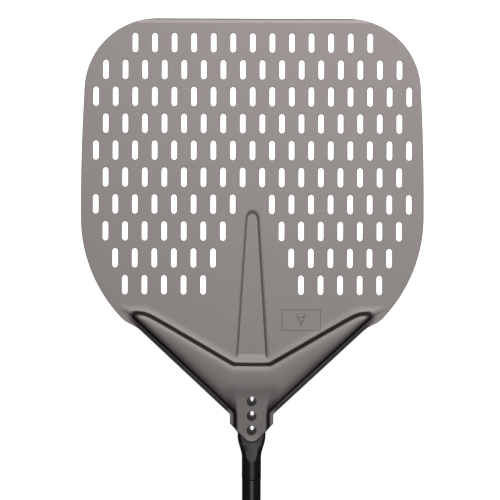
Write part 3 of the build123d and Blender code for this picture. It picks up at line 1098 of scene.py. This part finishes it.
def threaded_rings(front, back, crest, outwards):
    """Rings of points of a screw thread about the handle's axis, from front to back."""
    steps = int((front - back) / PITCH * THREAD_STEPS)
    rings = []
    for y in np.linspace(front, back, steps + 1):
        ridge = np.abs((y / PITCH + np.arange(THREAD_SIDES) / THREAD_SIDES) % 1 * 2 - 1)
        run_out = np.clip(min(front - y, y - back) / THREAD_RUN_OUT, 0, 1)
        if outwards:
            radius = crest - THREAD_DEPTH + THREAD_DEPTH * ridge * run_out
        else:
            radius = crest - THREAD_DEPTH * (1 - ridge) * run_out
        rings.append(round_ring(radius, y))
    return rings


def threaded_stud():
    """The steel stud with its cut thread and chamfered ends."""
    radius, back, front = node_span("threaded_stud")
    end_r = radius - THREAD_DEPTH - STUD_CHAMFER
    thread = threaded_rings(front - STUD_TIP, back + STUD_CHAMFER, radius, True)
    shape = capped([round_ring(end_r, front)] + thread + [round_ring(end_r, back)])
    add_piece("stud_body", shape, "handle", [STUD_STEEL], "threaded_stud", 25)


def neck_insert():
    """The brass bush with its cut thread and a lead-in chamfer."""
    radius, back, front = node_span("neck_insert")
    bore = node_box("threaded_stud")[1][0] + THREAD_PLAY
    thread_end, core_end = INSERT_RELIEF
    rings = [round_ring(radius - INSERT_BREAK, front), round_ring(radius, front - INSERT_BREAK)]
    rings += [round_ring(radius, back), round_ring(bore + INSERT_LEAD_IN, back)]
    rings += threaded_rings(front - thread_end, back + INSERT_LEAD_IN, bore, False)[::-1]
    rings += [round_ring(bore - THREAD_DEPTH, front - core_end)]
    add_piece("insert_body", capped(rings), "head", [BRASS], "neck_insert", 25)


def joint_washer():
    """The rubber washer with rounded rims."""
    outer, back, front = node_span("joint_washer")
    middle = (back + front) / 2
    half = (front - back) / 2 - WASHER_CLEARANCE
    rings = rounded_rings(outer - half, middle, half, 90, -90, 8)
    rings += rounded_rings(WASHER_BORE + half, middle, half, 270, 90, 8)
    shape = turned(rings, JOINT_SIDES)
    add_piece("washer_body", shape, "washer", [RUBBER], "joint_washer")


def handle_plug():
    """The aluminium plug with a chamfered, lightly grooved face."""
    outer, back, face = node_span("handle_plug")
    rings = [(radius, face - depth) for radius, depth in PLUG_FACE]
    rings += [(outer - PLUG_CHAMFER, face), (outer, face - PLUG_CHAMFER), (outer, back), (0, back)]
    rings += [(0, face - PLUG_BORE_DEPTH), (PLUG_BORE, face - PLUG_BORE_DEPTH)]
    shape = turned(rings, JOINT_SIDES)
    add_piece("plug_body", shape, "handle", [PLUG_ALUMINIUM], "handle_plug")


threaded_stud()
neck_insert()
joint_washer()
handle_plug()


# ======== The handle ========
HANDLE_SIDES = 96
HANDLE_RINGS = 40
RIB_PITCH = 6.0
RIB_GROOVE = 2.4  # width of the grooves between the ribs
RIB_DEPTH = 0.75
RIB_STEPS = 10
RIB_POWER = 0.7  # below 1, so that the grooves' sides are steep
GRIP_PLAY = 0.08  # between the mid grip's bore and the handle
GRIP_FIT = 0.02  # between the end grip's bore and the handle
GRIP_EDGE = 1.2  # rounded outer edges
GRIP_CHAMFER = 0.4  # at the bores' mouths
GRIP_COLLAR = 10.0  # plain length before the ribs
GRIP_TAIL = 40.0  # plain length at the end grip's back
GRIP_DOME = 10.0
TANG_HALF = 6.0  # half the thickness around the eye
TANG_FLAT = (28.0, 13.0, 5.0)  # length, middle from the end, and corner radius of the flats
EYE_R = 6.5
EYE_FROM_END = 15.0
EYE_FLARE = 1.0
EYE_SIDES = 64
CUTTER_MARGIN = 4.0  # how far the cutters reach past the grip


def handle_tube():
    """The long anodised tube with broken edges."""
    front, back = TUBE_HIGH[1], TUBE_LOW[1]
    inner = HANDLE_R - TUBE_WALL
    rings = [(HANDLE_R - EDGE_BREAK, front), (HANDLE_R - EDGE_MIDDLE, front - EDGE_MIDDLE)]
    rings += [(HANDLE_R, front - EDGE_BREAK)]
    rings += [(HANDLE_R, y) for y in np.linspace(front - 2 * EDGE_BREAK, back, HANDLE_RINGS)]
    rings += [(inner, back), (inner, front)]
    shape = turned(rings, HANDLE_SIDES)
    add_piece("handle_tube_body", shape, "handle", [TUBE_BLACK], "handle_tube")


def grip_front(inner, outer, front):
    """Rings of a grip's front end: its bore's chamfer, its face and its rounded edge."""
    rings = [(inner, front - GRIP_CHAMFER), (inner + GRIP_CHAMFER, front), (outer - GRIP_EDGE, front)]
    return rings + rounded_rings(outer - GRIP_EDGE, front - GRIP_EDGE, GRIP_EDGE, 90, 0, 6)[1:]


def ribbed(radius, front, back):
    """Rings of a ribbed stretch of a grip, from front to back."""
    grooves = int((front - back) / RIB_PITCH)
    rings = []
    for number in range(grooves):
        start = front - (number + 0.5) * RIB_PITCH + RIB_GROOVE / 2
        for step in range(RIB_STEPS + 1):
            share = step / RIB_STEPS
            rings.append((radius - RIB_DEPTH * sin(pi * share) ** RIB_POWER, start - share * RIB_GROOVE))
    return rings


def mid_grip():
    """The sliding sleeve with ribs between two plain collars."""
    outer, back, front = node_span("mid_grip")
    inner = HANDLE_R + GRIP_PLAY
    rings = grip_front(inner, outer, front) + ribbed(outer, front - GRIP_COLLAR, back + GRIP_COLLAR)
    rings += rounded_rings(outer - GRIP_EDGE, back + GRIP_EDGE, GRIP_EDGE, 0, -90, 6)
    rings += [(inner + GRIP_CHAMFER, back), (inner, back + GRIP_CHAMFER)]
    shape = turned(rings, HANDLE_SIDES)
    add_piece("mid_grip_body", shape, "mid_grip", [POLYMER], "mid_grip", 40)


def cut(piece, cutters):
    """Cuts the cutters out of a piece, applies the cuts and removes the cutters."""
    for cutter in cutters:
        modifier = piece.modifiers.new(cutter.name, "BOOLEAN")
        modifier.operation = "DIFFERENCE"
        modifier.solver = "EXACT"
        modifier.object = cutter
    view = bpy.context.evaluated_depsgraph_get()
    result = bpy.data.meshes.new_from_object(piece.evaluated_get(view))
    piece.modifiers.clear()
    piece.data = result
    for cutter in cutters:
        bpy.data.objects.remove(cutter)


def flat_cutter(end, side, reach):
    """A block with rounded corners that flattens one side of the grip around its eye."""
    length, middle, corner = TANG_FLAT
    outline = [
        place for centre_y, start in ((-length / 2 + corner, 180), (length / 2 - corner, 270))
        for place in arc((centre_y, TANG_HALF + corner), corner, start, start + 90, 1.2)
    ]
    outline += [(length / 2, reach), (-length / 2, reach)]
    if side < 0:
        outline = outline[::-1]
    rings = [[(x, end + middle + y, AXIS_Z + side * z) for y, z in outline] for x in (-reach, reach)]
    return new_object("flat_cutter", new_mesh("flat_cutter", *capped(rings)))


def eye_cutter(end, reach):
    """A pin that flares where it leaves the flats, for the hanging eye."""
    rings = [(0, reach), (EYE_R + EYE_FLARE, reach)]
    rings += rounded_rings(EYE_R + EYE_FLARE, TANG_HALF - EYE_FLARE, EYE_FLARE, 90, 180, 6)
    rings += rounded_rings(EYE_R + EYE_FLARE, EYE_FLARE - TANG_HALF, EYE_FLARE, 180, 270, 6)
    rings += [(EYE_R + EYE_FLARE, -reach), (0, -reach)]
    points, faces = lathe(rings, EYE_SIDES)
    points = points + (0, end + EYE_FROM_END, AXIS_Z)
    return new_object("eye_cutter", new_mesh("eye_cutter", points, faces))


def end_grip():
    """The moulded grip: ribs, a smooth domed end with two flats, and the hanging eye."""
    outer, back, front = node_span("end_grip")
    inner = HANDLE_R + GRIP_FIT
    rings = grip_front(inner, outer, front) + ribbed(outer, front - GRIP_COLLAR, back + GRIP_TAIL)
    rings += rounded_rings(outer - GRIP_DOME, back + GRIP_DOME, GRIP_DOME, 0, -90, 14)
    rings += [(0, back), (0, TUBE_LOW[1]), (inner, TUBE_LOW[1])]
    shape = turned(rings, HANDLE_SIDES)
    piece = add_piece("end_grip_body", shape, "handle", [POLYMER], "end_grip", 40)
    reach = outer + CUTTER_MARGIN
    cut(piece, [flat_cutter(back, 1, reach), flat_cutter(back, -1, reach), eye_cutter(back, reach)])
    crease(piece, 40)


handle_tube()
mid_grip()
end_grip()


# ======== Stage, lights and camera, in metres ========
FLOOR_REACH = 12.0
FLOOR_Z = -0.0002
FLOOR_GLOW = 0.9
WORLD_COLOR = (0.05, 0.05, 0.05, 1)
# Each light's place, size and power.
LIGHTS = {
    "key_light": ((0.3, 1.45, 2.8), (1.25, 1.15), 46),
    "top_light": ((0.12, 0.14, 1.3), (0.5, 0.5), 2.1),
}
PICTURE_WIDTH = 0.525  # across the picture at the blade's height
CAMERA_PLACE = Vector((-0.0023, -0.0207, 2.7))
CAMERA_ROLL = 0.0035
SENSOR_WIDTH = 36.0  # millimetres, as the lens is


def studio_floor():
    """A plain bright floor, seen by the camera and not by the metal."""
    material = new_material("studio_floor", Roughness=1.0, Base_Color=(1, 1, 1, 1),
                            Emission_Color=(1, 1, 1, 1), Emission_Strength=FLOOR_GLOW)
    corners = [(-1, -1), (1, -1), (1, 1), (-1, 1)]
    points = [(x * FLOOR_REACH / MM, y * FLOOR_REACH / MM, FLOOR_Z / MM) for x, y in corners]
    mesh = new_mesh("studio_floor", points, [(0, 1, 2, 3)])
    mesh.materials.append(material)
    piece = new_object("studio_floor", mesh)
    piece.visible_diffuse = False
    piece.visible_glossy = False


def soft_box(name, place, size, power):
    """A rectangular studio light aimed at the origin, near the blade's middle."""
    light = bpy.data.lights.new(name, "AREA")
    light.shape = "RECTANGLE"
    light.size, light.size_y = size
    light.energy = power
    lamp = new_object(name, light)
    lamp.location = place
    lamp.rotation_euler = (-Vector(place)).to_track_quat("-Z", "Y").to_euler()
    lamp.visible_camera = False


def studio():
    """Floor, lights, world and camera."""
    studio_floor()
    for name, (place, size, power) in LIGHTS.items():
        soft_box(name, place, size, power)
    scene = bpy.context.scene
    world = bpy.data.worlds.new("studio")
    world.use_nodes = True
    world.node_tree.nodes["Background"].inputs["Color"].default_value = WORLD_COLOR
    scene.world = world
    camera = bpy.data.cameras.new("camera")
    camera.sensor_width = SENSOR_WIDTH
    camera.lens = SENSOR_WIDTH * (CAMERA_PLACE.z - SHEET_TOP * MM) / PICTURE_WIDTH
    viewer = new_object("camera", camera)
    viewer.location = CAMERA_PLACE
    viewer.rotation_euler.z = CAMERA_ROLL
    scene.camera = viewer
    scene.view_settings.view_transform = "Standard"


studio()
